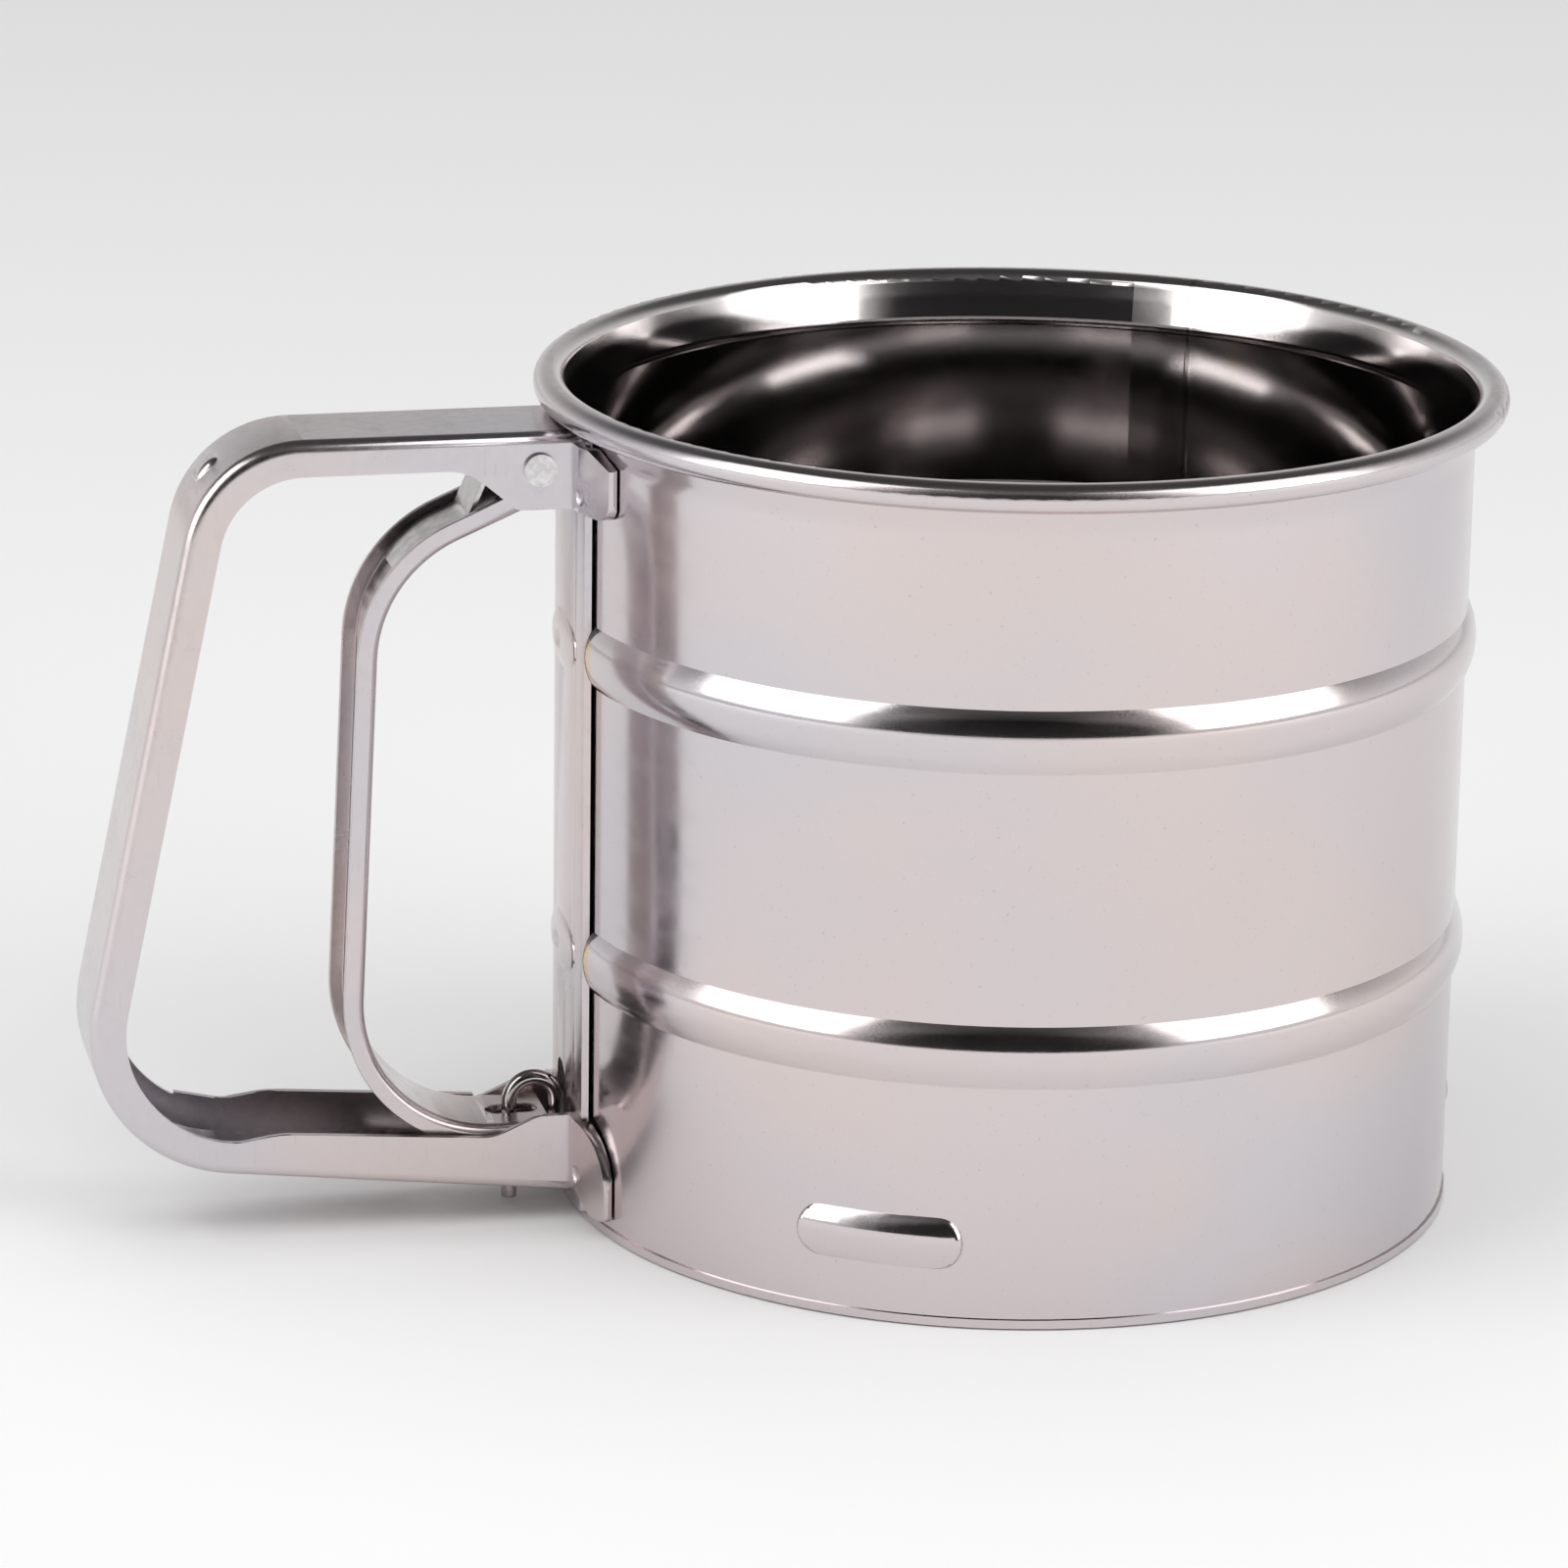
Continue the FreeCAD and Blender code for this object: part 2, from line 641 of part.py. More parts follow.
def handle_tab(name, corners):
    """One welded tab: its bent section, trimmed to its outline seen along X.

    Its inner face starts inside the strap, whose face is cut from the whole handle later.
    """
    def on_strap(side):
        return f"-sqrt(strap_out^2 - ({side})^2)"

    end = "-sqrt(cup_radius^2 - (tab_reach - 0.2)^2) - tab_gap"

    def section(sketch):
        bend = "strap_wide/2 + 0.2"
        inner_side, outer_side = "grip_wide/2 - grip_sheet", "grip_wide/2"
        outline(sketch, [
            (on_strap(inner_side) + " + strap_bite", f"-({inner_side})"),
            (on_strap(bend) + " + strap_bite", f"-({bend})"),
            (end, "-tab_reach + 0.2"),
            (end + " - grip_sheet", "-tab_reach - 0.2"),
            (on_strap(bend) + " - grip_sheet", f"-({bend}) - 0.2"),
            (on_strap(outer_side) + " - grip_sheet", f"-({outer_side})")])

    bent = slab(name + "_bent", "XY", section, "cup_height")
    face = slab(name + "_face", "YZ", lambda sketch: outline(sketch, corners), "cup_radius + 20")
    bind(face, Base_x="-cup_radius - 20")
    return common(name, [bent, face])


def arm_edge(lift):
    """Top edge of the bottom arm's side walls, from the trigger to the heel."""
    return [
        ("-strap_out - 8.4", f"arm_low_wall - 2.1 + {lift}", "5"),
        ("-strap_out - 30.7", f"arm_low_wall - 0.3 + {lift}", "10"),
        ("-strap_out - 35.4", f"arm_low_wall - 0.95 + {lift}", "4")]


def make_handle():
    inner = offset_path(HANDLE_PATH, "grip_deep")
    free_edge = [
        ("-strap_out + strap_bite", "arm_low_wall"),
        ("-strap_out - 3.6", "arm_low_wall", "2.5")] + arm_edge("0") + [
        inner[2] + ("heel_round - grip_deep",),
        inner[1] + ("knuckle_round - grip_deep",),
        ("-pivot_out - 7.6", f"{inner[0][1]}", "6"),
        ("-pivot_out - 2.3", "ear_low", "1.6"),
        ("-strap_out + strap_bite", "ear_low")]
    size = ("grip_wide", "grip_sheet")
    body = channel("grip_channel", HANDLE_PATH, ("knuckle_round", "heel_round"),
                   free_edge, size, 1, [])
    round_bends(body, "grip_wide", "grip_bend")

    def far_strip(sketch):
        """Strip by which the far wall of the bottom arm stands higher."""
        edge = arm_edge("far_wall_lift")
        outline(sketch, [("-strap_out - 8.4", "arm_low_wall - 3"), edge[0][:2], edge[1], edge[2],
                         ("-strap_out - 40.5", "arm_low_wall + 0.9"),
                         ("-strap_out - 40.5", "arm_low_wall - 1.5"),
                         ("-strap_out - 35.4", "arm_low_wall - 3")])

    strip = slab("far_strip", "XZ", far_strip, "grip_sheet")
    bind(strip, Base_y="grip_wide/2")
    upper = handle_tab("upper_tab", [
        ("-grip_wide/2 + grip_sheet", "grip_top - grip_bend"),
        ("-grip_wide/2 + grip_sheet", "ear_low"),
        ("-tab_reach", "ear_low", "2.2"),
        ("-tab_reach", "rim_low - rim_flare_drop - 0.4"),
        ("-strap_wide/2 - 2", "grip_top - grip_bend")])
    lower = handle_tab("lower_tab", [
        ("-grip_wide/2 + grip_sheet", "arm_low_wall"),
        ("-grip_wide/2 + grip_sheet", "arm_low + 1.85"),
        ("-grip_wide/2 - 0.6", "arm_low + 1.85"),
        ("-tab_reach + 2.6", "arm_low - 0.95"),
        ("-tab_reach", "arm_low - 0.95", "0.8"),
        ("-tab_reach", "arm_low_wall", "6.5")])
    tabs = [upper, mirrored("upper_tab_far", upper), lower, mirrored("lower_tab_far", lower)]
    solid = fuse("handle_solid", [body, strip, knuckle_dimple()] + tabs)
    hole = slab("handle_slot", "XY", handle_slot, "arm_low + 6")
    bind(hole, Base_x="-wire_leg_out - stroke/2")
    bore = cross_bore("handle_bore", "rivet_shaft", "grip_wide + 4")
    welds = []
    weld_side = "strap_wide/2 + 1"
    for end, level in (("upper", "pivot_up - 2.5"), ("lower", "arm_low + 2.85")):
        for side in ("near", "far"):
            sign = "-" if side == "near" else ""
            welds.append(weld_mark(f"{end}_weld_{side}", f"sqrt(tab_out^2 - ({weld_side})^2)",
                                   f"{sign}({weld_side})", level))
    cuts = fuse("handle_cuts", [strap_room(), hole, bore] + welds)
    finish(cut("handle", solid, cuts), "handle_channel")


def strap_room():
    """The strap's own outer face, a little wider than the strap, cut from the handle's ends."""
    half = "strap_wide/2 + 0.5"

    def lane(sketch):
        outline(sketch, [("-strap_out - 1", f"-({half})"), ("0", f"-({half})"),
                         ("0", half), ("-strap_out - 1", half)])

    return common("strap_room", [slab("strap_lane", "XY", lane, "cup_height + 10"),
                                 cylinder("strap_face", "strap_out", "cup_height + 10", "-5")])


def handle_slot(sketch):
    stadium(sketch, "stroke + 2*wire_radius + 1.6", "2*wire_radius + 1.2", "0")


def knuckle_dimple():
    """Small raised stiffener on the outside of the upper bend."""
    dimple = doc.addObject("Part::Ellipsoid", "knuckle_dimple")
    dimple.Angle1 = -90
    bind(dimple, Radius1="dimple_long", Radius2="dimple_wide*0.8", Radius3="dimple_wide")
    lean = "(knuckle_out - heel_out)/(grip_top - heel_up)"
    reach = f"knuckle_round*(sqrt(1 + ({lean})^2) + ({lean}))"
    bind(dimple, Base_x=f"-knuckle_out + {reach} - 0.74*(knuckle_round - dimple_sink)",
         Base_z="grip_top - knuckle_round + 0.68*(knuckle_round - dimple_sink)")
    dimple.Placement.Rotation = FreeCAD.Rotation(FreeCAD.Vector(0, 1, 0), 42)
    return dimple


def cross_bore(name, radius, length):
    """A cylinder along Y on the pivot's axis."""
    bore = doc.addObject("Part::Cylinder", name)
    bore.Placement.Rotation = FreeCAD.Rotation(FreeCAD.Vector(1, 0, 0), 90)
    return bind(bore, Radius=radius, Height=length, Base_x="-pivot_out",
                Base_y=f"({length})/2", Base_z="pivot_up")


def make_rivet():
    shaft = cross_bore("rivet_body", "rivet_shaft", "grip_wide + 2*rivet_head_thick")
    heads = cross_bore("rivet_heads", "rivet_head", "grip_wide + 2*rivet_head_thick")
    middle = cross_bore("rivet_between", "rivet_head + 1", "grip_wide")
    solid = fuse("rivet_solid", [shaft, cut("rivet_ends", heads, middle)])
    finish(solid, "pivot_rivet")


# ---------------------------------------------------------------- trigger

def make_trigger():
    outer = offset_path(TRIGGER_PATH, "-trigger_deep")
    ear_foot = f"({outer[0][1]}) - shoulder_slope*(({outer[0][0]}) + pivot_out + 2.7)"
    free_edge = [
        ("-toe_end", "toe_up - trigger_deep"),
        outer[2] + ("toe_round + trigger_deep",),
        outer[1] + ("shoulder_round + trigger_deep",),
        ("-pivot_out - 2.7", ear_foot, "1.5"),
        ("-pivot_out - 2.7", "pivot_up + 2.4", "2.3"),
        ("-pivot_out + 2.8", "pivot_up + 2.4", "2.3")]
    room_back = [("30 - toe_end", "-30"), ("-140", "-30"), ("-140", "120"), ("30 - toe_end", "120")]
    size = ("trigger_wide", "trigger_sheet")
    body = channel("trigger_channel", TRIGGER_PATH, ("shoulder_round", "toe_round"),
                   free_edge, size, -1, room_back)
    round_bends(body, "trigger_wide", "trigger_bend")
    hole = slab("trigger_slot", "XY", trigger_slot, "toe_up + 2")
    bind(hole, Base_x="-wire_leg_out + 0.2")
    bore = cross_bore("trigger_bore", "rivet_shaft + running_gap", "grip_wide + 4")
    finish(cut("trigger", body, fuse("trigger_cuts", [hole, bore])), "trigger_lever")


def trigger_slot(sketch):
    stadium(sketch, "slot_long", "slot_wide", "0")


def make_spring():
    """Bent leaf between the handle's top and the floor of the trigger."""
    top = "grip_top - grip_sheet - 0.05"
    on_floor = ("shoulder_up + shoulder_slope*(shoulder_reach - 7.2)"
                " + spring_seat*sqrt(1 + shoulder_slope^2)")
    path = [("-pivot_out + 1.6", top), ("-pivot_out - 3.4", top), ("-pivot_out - 7.2", on_floor),
            ("-shoulder_out + 4.07", "shoulder_up + 3.33"),
            ("-shoulder_out + 1.6", "shoulder_up + 0.2")]
    under = offset_path(path, "spring_sheet")
    rounds = {1: ("0.9", "0.5"), 2: ("1.2", "1.6"), 3: ("13", "12.6")}
    corners = [path[i] + ((rounds[i][0],) if i in rounds else ()) for i in range(len(path))]
    back = [under[i] + ((rounds[i][1],) if i in rounds else ()) for i in range(len(path))]
    finish(slab("spring", "XZ", lambda sketch: outline(sketch, corners + back[::-1]),
                "spring_wide", both=True), "return_spring")


# ---------------------------------------------------------------- wire

def round_wire(points, bends):
    """A wire of straight runs whose corners are arcs of the given radii."""
    edges = []
    here = points[0]
    for before, corner, after, radius in zip(points, points[1:], points[2:], bends):
        arrive, leave, centre = corner_cut(before, corner, after, radius)
        crown = centre + (corner - centre).normalize() * radius
        if here.distanceToPoint(arrive) > 1e-6:
            edges.append(Part.LineSegment(here, arrive).toShape())
        edges.append(Part.Arc(arrive, crown, leave).toShape())
        here = leave
    edges.append(Part.LineSegment(here, points[-1]).toShape())
    return Part.Wire(edges)


def make_wire():
    """Foot, arch over the trigger's end, run into the cup, and crank end on the agitator."""
    out, knee, level = number("wire_leg_out"), number("wire_knee_out"), number("wire_level")
    crown, radius = number("wire_crown"), number("wire_radius")
    half_stroke, crank = number("stroke/2"), number("crank_radius")
    turn, foot, hook = number("wire_turn_out"), number("wire_foot"), number("fin_foot + 0.4")
    points = [FreeCAD.Vector(*place) for place in (
        (-out, 0, foot), (-out, 0, crown), (-knee, 0, crown), (-knee, 0, level),
        (-turn, 0, level), (half_stroke, -crank, level), (half_stroke, -crank, hook))]
    arch = (out - knee) / 2 - 0.005
    route = round_wire(points, [arch, arch, 2.2, 6, 1.6])
    ring = Part.Wire(Part.Circle(points[0], FreeCAD.Vector(0, 0, 1), radius).toShape())
    wire = doc.addObject("Part::Feature", "wire")
    wire.Shape = route.makePipeShell([ring], True, False)
    finish(wire, "pull_wire")


# ---------------------------------------------------------------- agitator

STAR_ARMS = 6


def make_agitator():
    """Star of flat arms, each with one edge turned down to wipe the sieve."""
    body = new_body("star_body")
    raised_pad(body, "star_disc", lambda sketch: circle(sketch, "0", "0", "star_hub"),
               "star_level", "star_top")
    half = "star_arm_wide/2"
    arm = raised_pad(body, "star_arm", lambda sketch: rectangle(
        sketch, "star_hub/2", f"-{half}", "star_reach", half), "star_level", "star_top")
    fin = raised_pad(body, "star_fin", lambda sketch: rectangle(
        sketch, "star_hub + 1", f"-{half}", "star_reach", f"star_sheet - {half}"),
        "fin_foot", "star_top")
    repeat_round(body, [arm, fin], STAR_ARMS)
    hole = cylinder("star_bore", "bush_radius", "10", "0")
    slot = slab("crank_slot", "XY", crank_slot, "star_top + 1")
    star = cut("star", body, fuse("star_cuts", [hole, slot]))
    start = math.degrees(math.atan2(-number("crank_radius"), number("stroke/2")))
    star.Placement.Rotation = FreeCAD.Rotation(FreeCAD.Vector(0, 0, 1), start)
    finish(star, "agitator_star")

    outside = cylinder("bush_outside", "bush_radius", "bush_top - bush_foot", "bush_foot")
    inside = cylinder("bush_inside", "pin_radius + running_gap", "10", "0")
    finish(cut("bush", outside, inside), "agitator_bush")


def crank_slot(sketch):
    """Radial slot that the wire's end turns the star by."""
    far = "sqrt(crank_radius^2 + stroke^2/4)"
    middle = f"((crank_radius + {far})/2)"
    half = f"(({far} - crank_radius)/2 + wire_slack + 0.15)"
    outline(sketch, [
        (f"{middle} + {side}*{half}", f"{lift}*wire_slack", "wire_slack*0.9")
        for side, lift in ((-1, -1), (1, -1), (1, 1), (-1, 1))])


# ---------------------------------------------------------------- spider and sieve

def make_spider():
    """Three-armed bracket whose end lugs sit in the cup's bosses."""
    body = new_body("spider_body")
    raised_pad(body, "spider_disc", lambda sketch: circle(sketch, "0", "0", "spider_hub"),
               "spider_level", "spider_top")
    arm = raised_pad(body, "spider_arm", lambda sketch: rectangle(
        sketch, "spider_hub/2", "-spider_arm_wide/2", "lug_outer - lug_thick/2",
        "spider_arm_wide/2"), "spider_level", "spider_top")
    repeat_round(body, [arm], 3)
    bars = three_bars("lug_bars", "boss_long - 4*cup_wall", "boss_tall - 3*cup_wall", "boss_level")
    zone = domed_zone("lug_zone", "lug_outer - lug_thick", "cup_wall + end_gap")
    solid = fuse("spider_solid", [body, common("lugs", [bars, zone])])
    hole = cylinder("spider_bore", "pin_radius", "30", "0")
    finish(cut("spider", solid, hole), "spider_bracket")


def make_sieve():
    disc = cylinder("sieve_disc", "ring_inner + ring_seat", "sieve_thick", "sieve_level")
    hole = cylinder("sieve_bore", "pin_radius", "10", "0")
    finish(cut("sieve", disc, hole), "sieve_mesh")
    ring = tube("ring_wall", "cup_bore - 0.05", "ring_inner", "ring_tall", "ring_foot")
    groove = cylinder("ring_groove", "ring_inner + ring_seat", "sieve_thick", "sieve_level")
    finish(cut("ring", ring, groove), "sieve_ring")
    for name, foot in (("upper", "sieve_top"), ("lower", "sieve_level - washer_thick")):
        washer = tube(f"washer_{name}", "washer_radius", "pin_radius", "washer_thick", foot)
        finish(washer, f"sieve_washer_{name}")


def make_pin():
    foot = "sieve_level - washer_thick"
    shaft = cylinder("pin_shaft", "pin_radius", f"spider_top - ({foot})", foot)
    top = cylinder("pin_top", "pin_radius*1.9", "0.9", "spider_top")
    bottom = cylinder("pin_bottom", "pin_radius*1.6", "0.7", f"{foot} - 0.7")
    finish(fuse("pin_solid", [shaft, top, bottom]), "centre_pin")


make_cup()
make_strap()
make_handle()
make_rivet()
make_trigger()
make_spring()
make_wire()
make_agitator()
make_spider()
make_sieve()
make_pin()
doc.recompute()

faults = [thing.Name for thing in doc.Objects if {"Invalid", "Error"} & set(thing.State)]
faults += [part.Label for part in PARTS if part.Shape.isNull() or not part.Shape.isValid()]
if faults:
    raise RuntimeError("not built: " + ", ".join(faults))
os.makedirs("parts", exist_ok=True)
for part in PARTS:
    part.Shape.exportStep(f"parts/{part.Label}.step")
    solids = len(part.Shape.Solids)
    print(f"{part.Label}: {solids} solid, {part.Shape.Volume:.1f} mm3, box {part.Shape.BoundBox}")
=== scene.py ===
import math

import bmesh
import bpy
from mathutils import Matrix, Vector


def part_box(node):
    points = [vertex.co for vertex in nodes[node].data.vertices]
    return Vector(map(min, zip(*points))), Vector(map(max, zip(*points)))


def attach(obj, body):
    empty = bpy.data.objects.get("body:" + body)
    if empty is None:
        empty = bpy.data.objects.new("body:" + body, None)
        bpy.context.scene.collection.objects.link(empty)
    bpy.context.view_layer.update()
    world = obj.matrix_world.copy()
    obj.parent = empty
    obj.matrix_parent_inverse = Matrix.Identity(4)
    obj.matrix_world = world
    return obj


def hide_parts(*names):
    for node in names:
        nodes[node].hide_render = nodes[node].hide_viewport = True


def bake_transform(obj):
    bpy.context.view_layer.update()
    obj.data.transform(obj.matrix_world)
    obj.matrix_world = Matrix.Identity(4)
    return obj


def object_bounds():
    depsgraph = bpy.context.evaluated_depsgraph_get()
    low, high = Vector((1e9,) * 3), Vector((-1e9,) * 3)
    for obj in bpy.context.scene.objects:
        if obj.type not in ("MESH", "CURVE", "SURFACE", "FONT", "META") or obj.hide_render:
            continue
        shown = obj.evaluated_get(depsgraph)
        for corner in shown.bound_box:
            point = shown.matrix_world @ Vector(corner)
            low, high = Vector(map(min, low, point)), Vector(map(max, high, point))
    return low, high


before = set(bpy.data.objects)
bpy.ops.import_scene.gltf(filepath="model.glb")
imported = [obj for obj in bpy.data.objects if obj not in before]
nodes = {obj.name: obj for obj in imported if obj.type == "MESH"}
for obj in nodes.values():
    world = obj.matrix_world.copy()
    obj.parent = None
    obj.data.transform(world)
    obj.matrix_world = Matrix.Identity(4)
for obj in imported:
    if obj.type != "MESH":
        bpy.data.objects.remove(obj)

# Flour sifter of polished sheet steel. Metres, +Z up, origin on the cup's axis in the
# plane of its lower edge, the handle along -X.

MM = 0.001
cad_box = [list(corner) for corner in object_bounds()]


# ---------------------------------------------------------------- shader helpers

BUMP_STRENGTH = 0.5


class Shader:
    """A node tree built by short calls."""

    def __init__(self, name):
        self.material = bpy.data.materials.new(name)
        self.material.use_nodes = True
        self.tree = self.material.node_tree
        self.tree.nodes.clear()
        self.place = self.add("ShaderNodeTexCoord").outputs["Object"]

    def add(self, kind, **settings):
        node = self.tree.nodes.new(kind)
        for key, value in settings.items():
            setattr(node, key, value)
        return node

    def wire(self, source, target):
        """Link a socket, or set the target's own value."""
        if isinstance(source, bpy.types.NodeSocket):
            self.tree.links.new(source, target)
        else:
            target.default_value = source

    def maths(self, operation, *values):
        node = self.add("ShaderNodeMath", operation=operation)
        for value, socket in zip(values, node.inputs):
            self.wire(value, socket)
        return node.outputs[0]

    def stretched(self, scale):
        """The place in the object, with each axis scaled."""
        node = self.add("ShaderNodeMapping")
        self.wire(self.place, node.inputs["Vector"])
        node.inputs["Scale"].default_value = scale
        return node.outputs[0]

    def noise(self, vector, scale, detail=3.0, rough=0.55):
        node = self.add("ShaderNodeTexNoise")
        self.wire(vector, node.inputs["Vector"])
        node.inputs["Scale"].default_value = scale
        node.inputs["Detail"].default_value = detail
        node.inputs["Roughness"].default_value = rough
        return node.outputs["Fac"]

    def spread(self, value, low, high, to_low, to_high):
        """The value carried smoothly from one range to another, and held at its ends."""
        node = self.add("ShaderNodeMapRange", interpolation_type="SMOOTHSTEP")
        for entry, socket in zip((value, low, high, to_low, to_high), node.inputs):
            self.wire(entry, socket)
        return node.outputs[0]

    def blend(self, share, first, second):
        """The first colour where the share is 0, the second where it is 1."""
        node = self.add("ShaderNodeMix", data_type="RGBA")
        for entry, socket in zip((share, first, second),
                                 (node.inputs[0], node.inputs[6], node.inputs[7])):
            self.wire(entry, socket)
        return node.outputs[2]

    def bump(self, height, distance):
        node = self.add("ShaderNodeBump")
        node.inputs["Strength"].default_value = BUMP_STRENGTH
        node.inputs["Distance"].default_value = distance
        self.wire(height, node.inputs["Height"])
        return node.outputs[0]

    def round_cup(self):
        """Angle round the cup's axis, and height."""
        parts = self.add("ShaderNodeSeparateXYZ")
        self.wire(self.place, parts.inputs[0])
        x, y, height = parts.outputs
        return self.maths("ARCTAN2", y, x), height

    def pack(self, x, y, z):
        node = self.add("ShaderNodeCombineXYZ")
        for entry, socket in zip((x, y, z), node.inputs):
            self.wire(entry, socket)
        return node.outputs[0]

    def metal(self, colour, roughness, normal, anisotropic=0.0, tangent=None):
        shader = self.add("ShaderNodeBsdfPrincipled")
        shader.inputs["Metallic"].default_value = 1.0
        shader.inputs["Anisotropic"].default_value = anisotropic
        self.wire(colour, shader.inputs["Base Color"])
        self.wire(roughness, shader.inputs["Roughness"])
        self.wire(normal, shader.inputs["Normal"])
        if tangent is not None:
            self.wire(tangent, shader.inputs["Tangent"])
        out = self.add("ShaderNodeOutputMaterial")
        self.wire(shader.outputs[0], out.inputs["Surface"])
        return self.material


STEEL = (0.665, 0.602, 0.612, 1)
STEEL_COOL = (0.635, 0.600, 0.628, 1)
STEEL_WARM = (0.685, 0.606, 0.592, 1)
STEEL_DARK = (0.34, 0.30, 0.29, 1)
STEEL_INSIDE = (0.68, 0.645, 0.64, 1)
STRAW = (0.70, 0.52, 0.22, 1)
SEAM_TURN = math.radians(52)              # where the cup's sheet is joined
STRAP_EDGE_TURN = 2.965                   # radians round the cup to the strap's edges
BEAD_LEVELS = (61.8 * MM, 28.9 * MM)
RIM_LOW, RIM_ROLLED = 85.5 * MM, 86.5 * MM


def tinted(shader, scale=28):
    """Steel colour with broad faint patches, pink to straw."""
    patches = shader.noise(shader.place, scale, 2.0, 0.5)
    warm = shader.blend(shader.spread(patches, 0.42, 0.62, 0.0, 1.0), STEEL, STEEL_WARM)
    cool = shader.noise(shader.stretched((1, 1, 1.6)), scale * 0.7, 1.0, 0.5)
    return shader.blend(shader.spread(cool, 0.45, 0.65, 0.0, 1.0), warm, STEEL_COOL)


def inside_share(shader, turn):
    """1 on surfaces that face the cup's axis, 0 on those that face away from it."""
    facing = shader.add("ShaderNodeSeparateXYZ")
    shader.wire(shader.add("ShaderNodeTexCoord").outputs["Normal"], facing.inputs[0])
    inward = shader.maths("ADD",
                          shader.maths("MULTIPLY", facing.outputs[0], shader.maths("COSINE", turn)),
                          shader.maths("MULTIPLY", facing.outputs[1], shader.maths("SINE", turn)))
    return shader.spread(inward, -0.35, 0.0, 1.0, 0.0)


def near(shader, value, middle, half):
    """1 where a value is within half of the middle, fading to 0 at twice that."""
    off = shader.maths("ABSOLUTE", shader.maths("SUBTRACT", value, middle))
    return shader.spread(off, half, 2 * half, 1.0, 0.0)


def cup_steel():
    shader = Shader("cup_steel")
    turn, height = shader.round_cup()
    lines = shader.noise(shader.pack(shader.maths("MULTIPLY", turn, 0.02), 0.0, height), 9000, 2.0)
    haze = shader.noise(shader.stretched((1, 1, 4)), 90, 4.0)
    specks = shader.noise(shader.place, 2600, 2.0)
    inside = inside_share(shader, turn)
    brushed = shader.maths("ADD", shader.spread(lines, 0.3, 0.7, 0.08, 0.14),
                           shader.spread(haze, 0.4, 0.7, 0.0, 0.04))
    polish = shader.maths("MULTIPLY", brushed, shader.spread(inside, 0.0, 1.0, 1.0, 0.55))
    roughness = shader.maths("ADD", polish, shader.spread(height, RIM_LOW, RIM_ROLLED, 0.0, 0.07))
    tangent = shader.add("ShaderNodeTangent", direction_type="RADIAL", axis="Z").outputs[0]
    seam = near(shader, turn, SEAM_TURN, 0.004)
    crests = [near(shader, height, level, 1.2 * MM) for level in BEAD_LEVELS]
    beside = near(shader, shader.maths("ABSOLUTE", turn), STRAP_EDGE_TURN, 0.012)
    straw = shader.maths("MULTIPLY", beside, shader.maths("MAXIMUM", *crests))
    colour = shader.blend(inside, tinted(shader), STEEL_INSIDE)
    colour = shader.blend(shader.maths("MULTIPLY", seam, 0.55), colour, STEEL_DARK)
    colour = shader.blend(shader.spread(specks, 0.68, 0.74, 0.0, 0.35), colour, STEEL_DARK)
    colour = shader.blend(shader.maths("MULTIPLY", straw, 0.6), colour, STRAW)
    relief = shader.maths("SUBTRACT", shader.maths("MULTIPLY", lines, 0.2), seam)
    normal = shader.bump(relief, 0.01 * MM)
    return shader.metal(colour, roughness, normal, 0.75, tangent)


def sheet_steel():
    shader = Shader("sheet_steel")
    grain = shader.noise(shader.place, 900, 3.0)
    haze = shader.noise(shader.place, 160, 3.0)
    scuffs = shader.noise(shader.stretched((1, 1, 0.06)), 5200, 2.0)
    roughness = shader.maths("ADD", shader.spread(grain, 0.3, 0.7, 0.20, 0.25),
                             shader.spread(haze, 0.4, 0.7, 0.0, 0.04))
    colour = shader.blend(shader.spread(scuffs, 0.66, 0.72, 0.0, 0.2), tinted(shader, 40),
                          STEEL_DARK)
    normal = shader.bump(grain, 0.002 * MM)
    return shader.metal(colour, roughness, normal)


def plain_metal(name, colour, low, high, scale):
    shader = Shader(name)
    grain = shader.noise(shader.place, scale, 3.0)
    tint = shader.blend(shader.spread(grain, 0.35, 0.65, 0.0, 1.0), colour,
                        tuple(0.86 * c for c in colour[:3]) + (1,))
    return shader.metal(tint, shader.spread(grain, 0.3, 0.7, low, high),
                        shader.bump(grain, 0.008 * MM))


FINISHES = {
    "cup": cup_steel(),
    "sheet": sheet_steel(),
    "rivet": plain_metal("rivet_metal", (0.88, 0.86, 0.86, 1), 0.32, 0.42, 1500),
    "spring": plain_metal("spring_steel", (0.66, 0.63, 0.63, 1), 0.14, 0.24, 700),
    "wire": plain_metal("wire_steel", (0.56, 0.52, 0.51, 1), 0.12, 0.22, 900),
    "mesh": plain_metal("mesh_steel", (0.5, 0.48, 0.47, 1), 0.25, 0.4, 1200),
}

CAD_FINISH = {
    "cup_body": "cup", "back_strap": "sheet", "handle_channel": "sheet",
    "pivot_rivet": "rivet", "trigger_lever": "sheet", "return_spring": "spring",
    "pull_wire": "wire", "agitator_star": "sheet", "agitator_bush": "rivet",
    "spider_bracket": "sheet", "sieve_mesh": "mesh", "sieve_ring": "sheet",
    "sieve_washer_upper": "rivet", "sieve_washer_lower": "rivet", "centre_pin": "rivet"}

for name, finish in CAD_FINISH.items():
    for place in nodes[name].material_slots:
        place.material = FINISHES[finish]


# ---------------------------------------------------------------- added pieces

